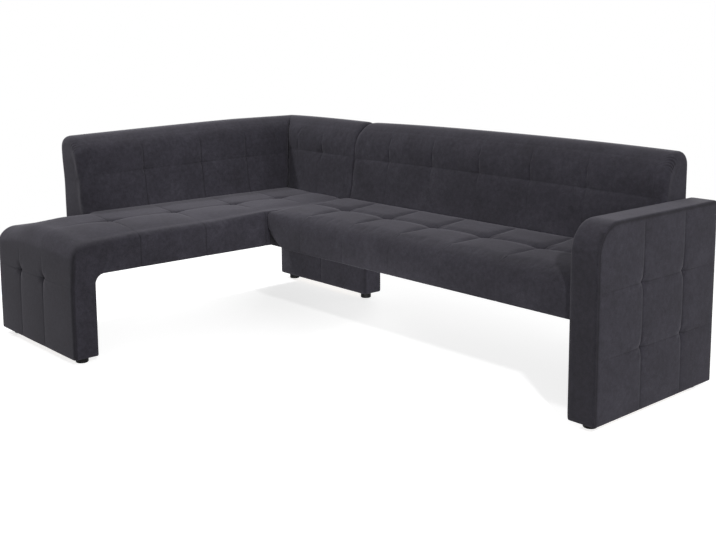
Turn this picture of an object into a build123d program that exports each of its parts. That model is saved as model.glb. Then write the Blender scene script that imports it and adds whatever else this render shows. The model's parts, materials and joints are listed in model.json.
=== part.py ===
from build123d import *
import math
import os

# Upholstered corner bench in two modules. Millimetres, +Z up. The origin is on the floor under the middle
# of the bench, the long wing runs along X and the viewer stands on the -Y side.

# Overall sizes
total_width = 2500.0
total_depth = 1615.0
total_height = 870.0
wing_depth = 685.0

# Feet
foot_height = 28.0
foot_diameter = 50.0
foot_chamfer = 2.5
foot_inset = 55.0

# Seats
seat_underside = 355.0
seat_seam_height = 510.0
seat_crown = 16.0
seat_crown_along = 18.0
seat_edge_radius = 55.0
seat_side_draw = 6.0
seat_rear_radius = 38.0
seat_tuft_line = 425.0
nose_radius = 66.0
cove_radius = 40.0
end_panel_length = 305.0
short_panel_length = 310.0
corner_panel_length = 260.0
long_first_panel = 240.0
long_panel_length = 278.0
long_seam_count = 5
seat_end_radius = 26.0
plan_corner_radius = 20.0
tuft_radius = 45.0
tuft_depth = 9.0

# Legs and arm
leg_thickness = 105.0
leg_panel_crown = 7.0
arm_thickness = 115.0
arm_height = 700.0
arm_depth = 705.0
arm_corner_radius = 110.0
arm_rear_radius = 12.0
arm_pad = 25.0
arm_inner_pad = 15.0
arm_band = 15.0
arm_panel_crown = 7.0
arm_seam_radius = 120.0
arm_seam_ease = 2.0
arm_rear_panel = 212.0
arm_middle_panel = 246.0
arm_lower_panel = 219.0
arm_middle_row = 243.0

# Backs
short_back_length = 1300.0
back_setback = 15.0
back_seat_depth = 196.0
back_seam_depth = 172.0
back_swell = 12.0
back_top_swell = 50.0
back_rear_radius = 40.0
back_end_radius = 34.0
back_top_corner_radius = 46.0
back_joint_radius = 14.0
back_top_ease = 3.0
back_bed_height = 475.0
back_bed_clearance = 0.5
short_back_seam_height = 692.0
long_back_seam_height = 720.0
back_seam_groove = 14.0

# Frames inside the upholstery
foam_front = 30.0
foam_end = 15.0
foam_leg_outer = 25.0
rail_thickness = 25.0
rail_bottom_gap = 3.0
rail_height = 65.0
webbing_thickness = 2.0
webbing_width = 60.0
webbing_pitch = 130.0
board_thickness = 12.0
block_height = 40.0
stile_width = 30.0
back_cover_thickness = 3.0
back_post_depth = 37.0
back_post_width = 45.0
back_rail_height = 45.0
back_frame_height = 325.0
back_frame_end = 25.0
back_frame_corner = 110.0
back_webbing_pitch = 150.0
cross_rail_count = 4
short_bracket_count = 3
long_bracket_count = 4
bracket_inset = 220.0
corner_bracket_inset = 160.0
bracket_thickness = 5.0
bracket_width = 40.0
bracket_rise = 120.0
bracket_foot = 5.0
bracket_clearance = 1.0

# Fasteners
bolt_diameter = 8.0
bolt_head = 13.0
bolt_head_height = 6.0
bolt_clearance = 0.3
bolt_nut_height = 7.0
bolt_grip = 30.0
seat_bolt_inset = 120.0

# Places worked out from the sizes above
left = -total_width / 2
right = total_width / 2
rear = total_depth / 2
near = -total_depth / 2
inner_x = left + wing_depth
arm_inner_x = right - arm_thickness
long_length = arm_inner_x - inner_x
cove_start = total_depth - leg_thickness - cove_radius
end_seam_height = seat_underside - cove_radius
rail_bottom = seat_underside + rail_bottom_gap
rail_top = rail_bottom + rail_height
pad_bed = rail_top + webbing_thickness
bolt_hole = bolt_diameter / 2 + bolt_clearance
bolt_height = rail_bottom + rail_height / 2
back_frame_rear = back_setback + back_cover_thickness
back_frame_front = back_frame_rear + back_post_depth
back_cavity_depth = back_frame_front + webbing_thickness
back_frame_top = back_bed_height + back_frame_height
back_lean = (back_seat_depth - back_seam_depth) / (short_back_seam_height - back_bed_height)
end_core_rear = total_depth - leg_thickness + foam_end
end_core_near = total_depth - foam_leg_outer
corner_core_near = leg_thickness - foam_end
first_short_seam = total_depth - end_panel_length
short_seams = [
    first_short_seam - 2 * short_panel_length - corner_panel_length,
    first_short_seam - 2 * short_panel_length,
    first_short_seam - short_panel_length,
    first_short_seam,
]
long_seams = [wing_depth + long_first_panel + i * long_panel_length for i in range(long_seam_count)]

long_end = wing_depth + long_length
rear_rail = back_frame_front - rail_thickness
front_rail = wing_depth - foam_front - rail_thickness
core_sides = (rear_rail, wing_depth - foam_front)
long_core = (wing_depth + foam_end, long_end - foam_end)
back_crest = back_seat_depth + back_swell
back_front_height = total_height + back_top_ease
back_bed_depth = back_crest + back_bed_clearance
arm_core_width = arm_thickness - arm_pad - arm_inner_pad
arm_core = total_width - arm_pad - arm_core_width

# A lean plane is square to the lean of a back's front, with the distance along the wing first.
# A section plane has the distance from the wall first and height second. A run plane has the distance
# along the wing first and height second. A plan plane has the distance along the wing first and the
# distance from the wall second.
short_section = Plane(origin=(left, rear, 0), x_dir=(1, 0, 0), z_dir=(0, -1, 0))
short_run = Plane(origin=(left, rear, 0), x_dir=(0, -1, 0), z_dir=(-1, 0, 0))
short_plan = Plane(origin=(left, rear, 0), x_dir=(0, -1, 0), z_dir=(0, 0, 1))
corner_section = Plane(origin=(inner_x, rear, 0), x_dir=(0, -1, 0), z_dir=(-1, 0, 0))
corner_run = Plane(origin=(left, rear, 0), x_dir=(1, 0, 0), z_dir=(0, -1, 0))
corner_plan = Plane(origin=(left, rear, total_height), x_dir=(1, 0, 0), z_dir=(0, 0, -1))
short_lean = Plane(origin=(left, rear, back_bed_height), x_dir=(0, -1, 0), z_dir=(-back_lean, 0, 1))
corner_lean = Plane(origin=(left, rear, back_bed_height), x_dir=(1, 0, 0), z_dir=(0, -back_lean, -1))
long_section = Plane(origin=(arm_inner_x, rear, 0), x_dir=(0, -1, 0), z_dir=(-1, 0, 0))
arm_side = Plane(origin=(right, rear, 0), x_dir=(0, -1, 0), z_dir=(-1, 0, 0))

os.makedirs("parts", exist_ok=True)


def keep(piece, name):
    piece.part.label = name
    export_step(piece.part, f"parts/{name}.step")


def spread(start, end, count):
    return [start + (end - start) * i / (count - 1) for i in range(count)]


def swell(start, end, rise):
    # One crowned stretch of cloth between two seams, bowed to the left of its direction.
    run = Vector(*end) - Vector(*start)
    middle = (Vector(*end) + Vector(*start)) / 2 + Vector(-run.Y, run.X).normalized() * rise
    ThreePointArc(start, (middle.X, middle.Y), end)


def quarter(start, end, centre):
    # The round of an edge, a quarter of a circle or of nearly one, about the given centre.
    radius = (Vector(*start) - Vector(*centre)).length
    middle = (Vector(*start) + Vector(*end)) / 2 - Vector(*centre)
    point = Vector(*centre) + middle.normalized() * radius
    ThreePointArc(start, (point.X, point.Y), end)


def block(x0, x1, y0, y1, z0, z1, mode=Mode.ADD):
    # A squared piece between two distances from the left wall, two from the rear wall and two heights.
    with Locations((left + (x0 + x1) / 2, rear - (y0 + y1) / 2, (z0 + z1) / 2)):
        Box(x1 - x0, y1 - y0, z1 - z0, mode=mode)


def rod(x, y, z, axis, length, radius, mode=Mode.ADD):
    # A round bar whose first end is at the point and which runs along the axis.
    turn = {"x": (0, 90, 0), "y": (90, 0, 0), "z": (0, 0, 0)}[axis]
    with Locations(Location((left + x, rear - y, z), turn)):
        Cylinder(radius, length, align=(Align.CENTER, Align.CENTER, Align.MIN), mode=mode)


def hexagon(x, y, z, axis, length, across):
    turn = {"x": (0, 90, 0), "y": (90, 0, 0), "z": (0, 0, 0)}[axis]
    with BuildSketch(Plane(Location((left + x, rear - y, z), turn))) as shape:
        RegularPolygon(across / 2, 6, major_radius=False)
    extrude(shape.sketch, amount=length)


def seat_section(bottom):
    # Front to rear through a seat: bowed front, rounded edge, a crowned row either side of the tuft line.
    front = wing_depth - seat_side_draw
    edge = front - seat_edge_radius
    shoulder = seat_seam_height - seat_edge_radius
    rear_shoulder = seat_seam_height - seat_rear_radius
    rear_edge = (seat_rear_radius, seat_seam_height)
    with BuildSketch() as outline:
        with BuildLine():
            Line((0, bottom), (front, bottom))
            swell((front, bottom), (front, shoulder), -seat_side_draw)
            quarter((front, shoulder), (edge, seat_seam_height), (edge, shoulder))
            swell((edge, seat_seam_height), (seat_tuft_line, seat_seam_height), -seat_crown)
            swell((seat_tuft_line, seat_seam_height), rear_edge, -seat_crown)
            quarter(rear_edge, (0, rear_shoulder), (seat_rear_radius, rear_shoulder))
            Line((0, rear_shoulder), (0, bottom))
        make_face()
    return outline.sketch


def crowned_run(start, end, seams):
    # The top of a seat along its wing: one swell for each panel, from the far end back to the start.
    stops = [end, *reversed(seams), start]
    for near_stop, far_stop in zip(stops, stops[1:]):
        swell((near_stop, seat_seam_height), (far_stop, seat_seam_height), -seat_crown_along)


def short_run_outline():
    # The short seat from the side: level underside, cove into the leg, end face, rounded nose, panels.
    inner_leg = total_depth - leg_thickness
    face = total_depth - seat_side_draw
    nose = face - nose_radius
    shoulder = seat_seam_height - nose_radius
    bend = cove_radius * math.sqrt(0.5)
    with BuildSketch() as outline:
        with BuildLine():
            Line((0, seat_underside), (cove_start, seat_underside))
            cove_middle = (cove_start + bend, end_seam_height + bend)
            ThreePointArc((cove_start, seat_underside), cove_middle, (inner_leg, end_seam_height))
            Line((inner_leg, end_seam_height), (face, end_seam_height))
            swell((face, end_seam_height), (face, shoulder), -seat_side_draw)
            quarter((face, shoulder), (nose, seat_seam_height), (nose, shoulder))
            crowned_run(0, nose, short_seams)
            Line((0, seat_seam_height), (0, seat_underside))
        make_face()
    return outline.sketch


def long_run_outline():
    # The long seat from the front, with its two top corners drawn in.
    top = seat_seam_height - seat_end_radius
    first = wing_depth + seat_end_radius
    last = long_end - seat_end_radius
    with BuildSketch() as outline:
        with BuildLine():
            low = seat_underside
            Polyline((wing_depth, top), (wing_depth, low), (long_end, low), (long_end, top))
            quarter((long_end, top), (last, seat_seam_height), (last, top))
            crowned_run(first, last, long_seams)
            quarter((first, seat_seam_height), (wing_depth, top), (first, top))
        make_face()
    return outline.sketch


def rounded(start, end, height, start_radius, end_radius):
    # A rectangle on the first axis whose two far corners are rounded, or square where the radius is 0.
    with BuildSketch() as outline:
        with BuildLine():
            Polyline((start, height - start_radius), (start, 0), (end, 0), (end, height - end_radius))
            if end_radius:
                middle = (end - end_radius, height - end_radius)
                quarter((end, height - end_radius), (end - end_radius, height), middle)
            Line((end - end_radius, height), (start + start_radius, height))
            if start_radius:
                middle = (start + start_radius, height - start_radius)
                quarter((start + start_radius, height), (start, height - start_radius), middle)
        make_face()
    return outline.sketch


def back_section(seam_height):
    # Front to rear through a back: upright rear, rounded top, two swells either side of the level seam.
    top_rear = total_height - back_rear_radius
    ridge = back_setback + back_rear_radius
    with BuildSketch() as outline:
        with BuildLine():
            Line((back_setback, back_bed_height), (back_setback, top_rear))
            quarter((back_setback, top_rear), (ridge, total_height), (ridge, top_rear))
            swell((ridge, total_height), (back_seam_depth, seam_height), back_top_swell)
            swell((back_seam_depth, seam_height), (back_seat_depth, back_bed_height), back_swell)
            Line((back_seat_depth, back_bed_height), (back_setback, back_bed_height))
        make_face()
    return outline.sketch


def back_face(start, end, seams):
    # The front of a back seen along its lean, one swell for each panel.
    valley = back_crest - back_seam_groove
    stops = [start, *seams, end]
    with BuildSketch() as outline:
        with BuildLine():
            Polyline((start, valley), (start, -back_crest), (end, -back_crest), (end, valley))
            for first, second in zip(stops, stops[1:]):
                swell((first, valley), (second, valley), back_seam_groove)
        make_face()
    return outline.sketch


def panelled(length, height, crown, count):
    # The line of a padded face over equal panels, drawn in at the seams by the crown.
    stops = spread(0, length, count + 1)
    valley = height - crown
    with BuildSketch() as outline:
        with BuildLine():
            Polyline((0, valley), (0, 0), (length, 0), (length, valley))
            for first, second in zip(stops, stops[1:]):
                swell((first, valley), (second, valley), crown)
        make_face()
    return outline.sketch


def arm_outline(inset):
    # The arm from the side, standing on its feet, with the large round at its top front corner.
    high = arm_height - inset
    deep = arm_depth - inset
    bend = arm_corner_radius - inset
    with BuildSketch() as outline:
        with BuildLine():
            low = foot_height
            Polyline((deep, high - bend), (deep, low), (inset, low), (inset, high), (deep - bend, high))
            quarter((deep - bend, high), (deep, high - bend), (deep - bend, high - bend))
        make_face()
        if inset < arm_rear_radius:
            top = outline.vertices().group_by(Axis.Y)[-1].sort_by(Axis.X)[0]
            fillet(top, arm_rear_radius - inset)
    return outline.sketch


def dimple(x, y, z, out):
    # A sewn tuft pulls a round hollow into the pad. The point is on the seam and out is the way it faces.
    centre = Vector(left + x, rear - y, z) + Vector(*out) * (tuft_radius - tuft_depth)
    with Locations(centre):
        Sphere(tuft_radius, mode=Mode.SUBTRACT)


def clear_of(spots, candidates, reach):
    return [c for c in candidates if all(abs(c - spot) > reach for spot in spots)]


def straps(start, end, pitch, spots):
    # Middles of evenly pitched straps that leave the brackets free.
    count = int((end - start) / pitch) + 1
    reach = (webbing_width + bracket_width) / 2 + bracket_clearance
    return clear_of(spots, [start + i * pitch for i in range(count)], reach)


short_brackets = spread(bracket_inset, short_back_length - bracket_inset, short_bracket_count)
corner_brackets = [corner_bracket_inset, front_rail - corner_bracket_inset / 2]
long_brackets = spread(wing_depth + bracket_inset, long_end - bracket_inset, long_bracket_count)
seat_bolts = [seat_bolt_inset, wing_depth - seat_bolt_inset]
bracket_half = bracket_width / 2 + bracket_clearance
bracket_pocket = back_frame_front + bracket_thickness + bracket_clearance
bracket_top = back_bed_height + bracket_rise
module_grip = rail_thickness + foam_front + foam_end + rail_thickness


def wing_block(along_x, run, depth, height, mode=Mode.ADD):
    # A squared piece of a wing from its ranges along the wing, from the wall and in height.
    sides = (*run, *depth) if along_x else (*depth, *run)
    block(*sides, *height, mode=mode)


def bracket_slots(spots, along_x, low, high):
    # Room for the brackets of a back.
    for spot in spots:
        run = (spot - bracket_half, spot + bracket_half)
        wing_block(along_x, run, (back_frame_front, bracket_pocket), (low, high), mode=Mode.SUBTRACT)


def bolt_slit(x0, x1):
    # Square openings in the cloth and foam for the bolts that pass through them.
    for y in seat_bolts:
        levels = (bolt_height - bolt_hole, bolt_height + bolt_hole)
        block(x0, x1, y - bolt_hole, y + bolt_hole, *levels, mode=Mode.SUBTRACT)


# Short seat pad, from the corner to where the cove starts
with BuildPart() as short_seat_pad:
    with BuildSketch(short_section):
        add(seat_section(seat_underside))
    extrude(amount=total_depth)
    with BuildSketch(short_run):
        add(short_run_outline())
    extrude(amount=-wing_depth, mode=Mode.INTERSECT)
    block(0, wing_depth, cove_start, total_depth, 0, total_height, mode=Mode.SUBTRACT)
    for seam in short_seams:
        dimple(seat_tuft_line, seam, seat_seam_height, (0, 0, 1))
    block(0, back_bed_depth, 0, short_back_length + back_bed_clearance, back_bed_height, total_height,
          mode=Mode.SUBTRACT)
    block(0, wing_depth, 0, back_bed_depth, back_bed_height, total_height, mode=Mode.SUBTRACT)
    block(*core_sides, foam_end, cove_start, 0, pad_bed, mode=Mode.SUBTRACT)
    bracket_slots(short_brackets, False, pad_bed, back_bed_height)
    bracket_slots(corner_brackets, True, pad_bed, back_bed_height)
    bolt_slit(wing_depth - foam_front, wing_depth)
keep(short_seat_pad, "short_seat_pad")

# Waterfall pad: the end of the short seat, turned down over the top of the end leg
with BuildPart() as waterfall_pad:
    with BuildSketch(short_section):
        add(seat_section(end_seam_height))
    extrude(amount=total_depth)
    with BuildSketch(short_run):
        add(short_run_outline())
    extrude(amount=-wing_depth, mode=Mode.INTERSECT)
    with BuildSketch(short_plan):
        add(rounded(cove_start, total_depth, wing_depth, 0, plan_corner_radius))
    extrude(amount=total_height, mode=Mode.INTERSECT)
    block(*core_sides, cove_start, end_core_rear, rail_bottom, pad_bed, mode=Mode.SUBTRACT)
    block(*core_sides, end_core_rear, end_core_near, 0, pad_bed, mode=Mode.SUBTRACT)
    for x in (wing_depth / 3, 2 * wing_depth / 3):
        dimple(x, total_depth - seat_side_draw, end_seam_height, (0, -1, 0))
keep(waterfall_pad, "waterfall_pad")

# End leg cover: three upright panels on the outer face, bowed front face, hollow for the core
with BuildPart() as end_leg_cover:
    leg_plan = Plane(origin=(left, near + leg_thickness, 0), x_dir=(1, 0, 0), z_dir=(0, 0, -1))
    with BuildSketch(leg_plan):
        add(panelled(wing_depth, leg_thickness, leg_panel_crown, 3))
    extrude(amount=-end_seam_height)
    with BuildSketch(short_plan):
        add(rounded(0, total_depth, wing_depth, 0, plan_corner_radius))
    extrude(amount=end_seam_height, mode=Mode.INTERSECT)
    with BuildSketch(short_section):
        with BuildLine():
            face = wing_depth - seat_side_draw
            Polyline((face, foot_height), (0, foot_height), (0, end_seam_height), (face, end_seam_height))
            swell((face, end_seam_height), (face, foot_height), seat_side_draw)
        make_face()
    extrude(amount=total_depth, mode=Mode.INTERSECT)
    block(*core_sides, end_core_rear, end_core_near, 0, end_seam_height, mode=Mode.SUBTRACT)
    for x in (wing_depth / 3, 2 * wing_depth / 3):
        dimple(x, total_depth - seat_side_draw, end_seam_height, (0, -1, 0))
keep(end_leg_cover, "end_leg_cover")

# Corner leg cover: two panels on the front face, hollow for the core
with BuildPart() as corner_leg_cover:
    leg_plan = Plane(origin=(left, rear, 0), x_dir=(1, 0, 0), z_dir=(0, 0, -1))
    with BuildSketch(leg_plan.offset(-foot_height)):
        add(panelled(wing_depth, leg_thickness, leg_panel_crown, 2))
    extrude(amount=foot_height - seat_underside)
    block(*core_sides, foam_end, corner_core_near, 0, seat_underside, mode=Mode.SUBTRACT)
keep(corner_leg_cover, "corner_leg_cover")

# Long seat pad
with BuildPart() as long_seat_pad:
    with BuildSketch(long_section):
        add(seat_section(seat_underside))
    extrude(amount=long_length)
    with BuildSketch(corner_run):
        add(long_run_outline())
    extrude(amount=wing_depth, mode=Mode.INTERSECT)
    with BuildSketch(corner_plan):
        add(rounded(wing_depth, long_end, wing_depth, plan_corner_radius, plan_corner_radius))
    extrude(amount=total_height, mode=Mode.INTERSECT)
    for seam in long_seams:
        dimple(seam, seat_tuft_line, seat_seam_height, (0, 0, 1))
    block(wing_depth, long_end, 0, back_bed_depth, back_bed_height, total_height, mode=Mode.SUBTRACT)
    block(*long_core, *core_sides, 0, pad_bed, mode=Mode.SUBTRACT)
    bracket_slots(long_brackets, True, pad_bed, back_bed_height)
    bolt_slit(wing_depth, wing_depth + foam_end)
    bolt_slit(long_end - foam_end, long_end)
keep(long_seat_pad, "long_seat_pad")

# Short back pad: four panels, mitred into the corner, rounded at its free end
short_frame = (back_frame_corner, short_back_length - back_frame_end)
short_back_end = short_back_length - back_frame_corner
short_back_seams = [seam for seam in short_seams if back_frame_corner < seam < short_back_end]
with BuildPart() as short_back_pad:
    with BuildSketch(short_section):
        add(back_section(short_back_seam_height))
    extrude(amount=short_back_length)
    with BuildSketch(short_lean):
        add(back_face(0, short_back_length, short_back_seams))
    extrude(amount=total_height, both=True, mode=Mode.INTERSECT)
    with BuildSketch(short_run):
        add(rounded(0, short_back_length, back_front_height, 0, back_top_corner_radius))
    extrude(amount=-wing_depth, mode=Mode.INTERSECT)
    with BuildSketch(short_plan):
        add(rounded(0, short_back_length, back_crest, 0, back_end_radius))
        with BuildLine():
            Polyline((0, 0), (back_crest, back_crest), (0, back_crest), close=True)
        make_face(mode=Mode.SUBTRACT)
    extrude(amount=total_height, mode=Mode.INTERSECT)
    block(0, back_cavity_depth, *short_frame, back_bed_height, back_frame_top, mode=Mode.SUBTRACT)
    bracket_slots(short_brackets, False, back_bed_height, bracket_top + bracket_clearance)
    for seam in short_back_seams:
        dimple(back_seam_depth, seam, short_back_seam_height, (1, 0, 0))
keep(short_back_pad, "short_back_pad")

# Corner back pad: two panels, mitred into the short back
corner_frame = (back_frame_corner, wing_depth - back_frame_end)
corner_back_seams = [(back_seat_depth + wing_depth) / 2]
with BuildPart() as corner_back_pad:
    with BuildSketch(corner_section):
        add(back_section(long_back_seam_height))
    extrude(amount=wing_depth)
    with BuildSketch(corner_lean):
        add(back_face(0, wing_depth, corner_back_seams))
    extrude(amount=total_height, both=True, mode=Mode.INTERSECT)
    with BuildSketch(corner_run):
        add(rounded(0, wing_depth, back_front_height, 0, back_joint_radius))
    extrude(amount=wing_depth, mode=Mode.INTERSECT)
    with BuildSketch(corner_plan):
        add(rounded(0, wing_depth, back_crest, 0, back_joint_radius))
        with BuildLine():
            Polyline((0, 0), (back_crest, back_crest), (0, back_crest), close=True)
        make_face(mode=Mode.SUBTRACT)
    extrude(amount=total_height, mode=Mode.INTERSECT)
    block(*corner_frame, 0, back_cavity_depth, back_bed_height, back_frame_top, mode=Mode.SUBTRACT)
    bracket_slots(corner_brackets, True, back_bed_height, bracket_top + bracket_clearance)
    for seam in corner_back_seams:
        dimple(seam, back_seam_depth, long_back_seam_height, (0, -1, 0))
keep(corner_back_pad, "corner_back_pad")

# Long back pad: six panels, rounded at both ends
long_frame = (wing_depth + back_frame_end, long_end - back_frame_end)
with BuildPart() as long_back_pad:
    with BuildSketch(long_section):
        add(back_section(long_back_seam_height))
    extrude(amount=long_length)
    with BuildSketch(corner_lean):
        add(back_face(wing_depth, long_end, long_seams))
    extrude(amount=total_height, both=True, mode=Mode.INTERSECT)
    with BuildSketch(corner_run):
        add(rounded(wing_depth, long_end, back_front_height, back_joint_radius, back_top_corner_radius))
    extrude(amount=wing_depth, mode=Mode.INTERSECT)
    with BuildSketch(corner_plan):
        add(rounded(wing_depth, long_end, back_crest, back_joint_radius, back_end_radius))
    extrude(amount=total_height, mode=Mode.INTERSECT)
    block(*long_frame, 0, back_cavity_depth, back_bed_height, back_frame_top, mode=Mode.SUBTRACT)
    bracket_slots(long_brackets, True, back_bed_height, bracket_top + bracket_clearance)
    for seam in long_seams:
        dimple(seam, back_seam_depth, long_back_seam_height, (0, -1, 0))
keep(long_back_pad, "long_back_pad")

# Arm pads: the outer face in three by three panels with four tufts, and the plain inner face
with BuildPart() as arm_outer_pad:
    with BuildSketch(arm_side):
        add(arm_outline(0))
    extrude(amount=arm_pad)
    seam_centre = total_width + arm_seam_radius - arm_panel_crown
    uprights = [arm_rear_panel, arm_rear_panel + arm_middle_panel]
    levels = [foot_height + arm_lower_panel, foot_height + arm_lower_panel + arm_middle_row]
    for y in uprights:
        rod(seam_centre, y, 0, "z", total_height, arm_seam_radius, mode=Mode.SUBTRACT)
    for z in levels:
        rod(seam_centre + arm_seam_ease, 0, z, "y", total_depth, arm_seam_radius, mode=Mode.SUBTRACT)
        for y in uprights:
            dimple(total_width - arm_panel_crown, y, z, (1, 0, 0))
keep(arm_outer_pad, "arm_outer_pad")

with BuildPart() as arm_inner_face:
    with BuildSketch(arm_side.offset(arm_thickness - arm_inner_pad)):
        add(arm_outline(0))
    extrude(amount=arm_inner_pad)
    bolt_slit(arm_core - arm_inner_pad, arm_core)
keep(arm_inner_face, "arm_inner_pad")

# Boxing band round the front, top and rear of the arm
with BuildPart() as arm_boxing:
    with BuildSketch(arm_side.offset(arm_pad)):
        add(arm_outline(0))
        add(arm_outline(arm_band), mode=Mode.SUBTRACT)
    extrude(amount=arm_core_width)
keep(arm_boxing, "arm_boxing_band")

# Arm core: two face boards with posts, rails and a bottom block between them
core_rear = arm_band
core_front = arm_depth - arm_band
core_top = arm_height - arm_band
core_left = arm_core + board_thickness
core_right = total_width - arm_pad - board_thickness
arm_foot_line = (core_left + core_right) / 2
with BuildPart() as arm_boards:
    for offset in (arm_pad, arm_pad + arm_core_width - board_thickness):
        with BuildSketch(arm_side.offset(offset)) as board:
            add(arm_outline(arm_band))
        extrude(board.sketch, amount=board_thickness)
    for y in seat_bolts:
        rod(arm_core, y, bolt_height, "x", board_thickness, bolt_hole, mode=Mode.SUBTRACT)
keep(arm_boards, "arm_face_boards")

with BuildPart() as arm_bottom_block:
    block(core_left, core_right, core_rear, core_front, foot_height, foot_height + block_height)
keep(arm_bottom_block, "arm_bottom_block")

with BuildPart() as arm_posts:
    low = foot_height + block_height
    block(core_left, core_right, core_rear, core_rear + stile_width, low, core_top - stile_width)
    block(core_left, core_right, core_front - stile_width, core_front, low, arm_height - arm_corner_radius)
keep(arm_posts, "arm_posts")

with BuildPart() as arm_top_rail:
    block(core_left, core_right, core_rear, arm_depth - arm_corner_radius, core_top - stile_width, core_top)
keep(arm_top_rail, "arm_top_rail")

with BuildPart() as arm_seat_rail:
    block(core_left, core_right, core_rear + stile_width, core_front - stile_width, rail_bottom, rail_top)
    for y in seat_bolts:
        rod(core_left, y, bolt_height, "x", bolt_grip, bolt_hole, mode=Mode.SUBTRACT)
keep(arm_seat_rail, "arm_seat_rail")

# Seat frames: front and rear rails, cross rails between them, elastic webbing on top, dust cover below
rail_levels = (rail_bottom, rail_top)
webbing_levels = (rail_top, pad_bed)
half_rail = rail_thickness / 2
corner_rail = back_frame_front - half_rail

with BuildPart() as short_front_rail:
    block(front_rail, wing_depth - foam_front, foam_end, end_core_rear, *rail_levels)
    for y in seat_bolts:
        rod(front_rail, y, bolt_height, "x", rail_thickness, bolt_hole, mode=Mode.SUBTRACT)
keep(short_front_rail, "short_front_rail")

with BuildPart() as short_rear_rail:
    block(rear_rail, back_frame_front, foam_end, end_core_rear, *rail_levels)
keep(short_rear_rail, "short_rear_rail")

with BuildPart() as short_cross_rails:
    for y in spread(corner_rail, end_core_rear - half_rail, cross_rail_count):
        block(back_frame_front, front_rail, y - half_rail, y + half_rail, *rail_levels)
keep(short_cross_rails, "short_cross_rails")

with BuildPart() as short_webbing:
    first = bracket_pocket + webbing_width
    for y in straps(first, end_core_rear - webbing_width / 2, webbing_pitch, short_brackets):
        block(*core_sides, y - webbing_width / 2, y + webbing_width / 2, *webbing_levels)
keep(short_webbing, "short_seat_webbing")

with BuildPart() as short_dust_cover:
    block(*core_sides, corner_core_near, cove_start, seat_underside, rail_bottom)
keep(short_dust_cover, "short_dust_cover")

with BuildPart() as long_front_rail:
    block(*long_core, front_rail, wing_depth - foam_front, *rail_levels)
keep(long_front_rail, "long_front_rail")

with BuildPart() as long_rear_rail:
    block(*long_core, rear_rail, back_frame_front, *rail_levels)
keep(long_rear_rail, "long_rear_rail")

with BuildPart() as long_cross_rails:
    for x in spread(long_core[0] + half_rail, long_core[1] - half_rail, cross_rail_count):
        block(x - half_rail, x + half_rail, back_frame_front, front_rail, *rail_levels)
    for x in (long_core[0], long_core[1] - rail_thickness):
        for y in seat_bolts:
            rod(x, y, bolt_height, "x", rail_thickness, bolt_hole, mode=Mode.SUBTRACT)
keep(long_cross_rails, "long_cross_rails")

with BuildPart() as long_webbing:
    margin = rail_thickness + webbing_width / 2
    for x in straps(long_core[0] + margin, long_core[1] - margin, webbing_pitch, long_brackets):
        block(x - webbing_width / 2, x + webbing_width / 2, *core_sides, *webbing_levels)
keep(long_webbing, "long_seat_webbing")

with BuildPart() as long_dust_cover:
    block(*long_core, *core_sides, seat_underside, rail_bottom)
keep(long_dust_cover, "long_dust_cover")

# Leg cores: two face boards, two stiles, a bottom block for the feet and a top block for the seat frame
leg_feet = [foot_inset, wing_depth - foot_inset]
block_top = foot_height + block_height


def leg_core(name, rear_face, near_face, block_low, top):
    inside = (rear_face + board_thickness, near_face - board_thickness)
    with BuildPart() as boards:
        block(*core_sides, rear_face, inside[0], foot_height, top)
        block(*core_sides, inside[1], near_face, foot_height, top)
    keep(boards, f"{name}_face_boards")
    with BuildPart() as stiles:
        block(core_sides[0], core_sides[0] + stile_width, *inside, block_top, block_low)
        block(core_sides[1] - stile_width, core_sides[1], *inside, block_top, block_low)
    keep(stiles, f"{name}_stiles")
    with BuildPart() as bottom:
        block(*core_sides, *inside, foot_height, block_top)
    keep(bottom, f"{name}_bottom_block")
    with BuildPart() as head:
        block(*core_sides, *inside, block_low, top)
    keep(head, f"{name}_top_block")


leg_core("end_leg", end_core_rear, end_core_near, rail_bottom, pad_bed)
leg_core("corner_leg", foam_end, corner_core_near, rail_bottom - block_height, rail_bottom)


# Back frames: bottom and top rails, posts, webbing in front, a rear cover behind, and steel brackets
# that stand on the seat frame's rail and run up the front of the posts
def back_frame(name, along_x, run, brackets, end_posts):
    depth = (back_frame_rear, back_frame_front)
    low = back_bed_height + back_rail_height
    high = back_frame_top - back_rail_height
    with BuildPart() as rails:
        wing_block(along_x, run, depth, (back_bed_height, low))
        wing_block(along_x, run, depth, (high, back_frame_top))
    keep(rails, f"{name}_rails")
    ends = [run[0] + back_post_width / 2, run[1] - back_post_width / 2]
    with BuildPart() as posts:
        for spot in brackets + ends * end_posts:
            sides = (spot - back_post_width / 2, spot + back_post_width / 2)
            wing_block(along_x, sides, depth, (low, high))
    keep(posts, f"{name}_posts")
    with BuildPart() as webbing:
        margin = back_post_width + webbing_width / 2
        for spot in straps(run[0] + margin, run[1] - margin, back_webbing_pitch, brackets):
            sides = (spot - webbing_width / 2, spot + webbing_width / 2)
            levels = (back_bed_height, back_frame_top)
            wing_block(along_x, sides, (back_frame_front, back_cavity_depth), levels)
    keep(webbing, f"{name}_webbing")
    with BuildPart() as cover:
        wing_block(along_x, run, (back_setback, back_frame_rear), (back_bed_height, back_frame_top))
    keep(cover, f"{name}_rear_cover")
    with BuildPart() as plates:
        for spot in brackets:
            sides = (spot - bracket_width / 2, spot + bracket_width / 2)
            reach = (back_frame_front, back_frame_front + bracket_thickness)
            wing_block(along_x, sides, reach, (rail_bottom + bracket_foot, bracket_top))
    keep(plates, f"{name}_brackets")


back_frame("short_back", False, short_frame, short_brackets, 1)
back_frame("corner_back", True, corner_frame, corner_brackets, 0)
back_frame("long_back", True, long_frame, long_brackets, 1)

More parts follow.
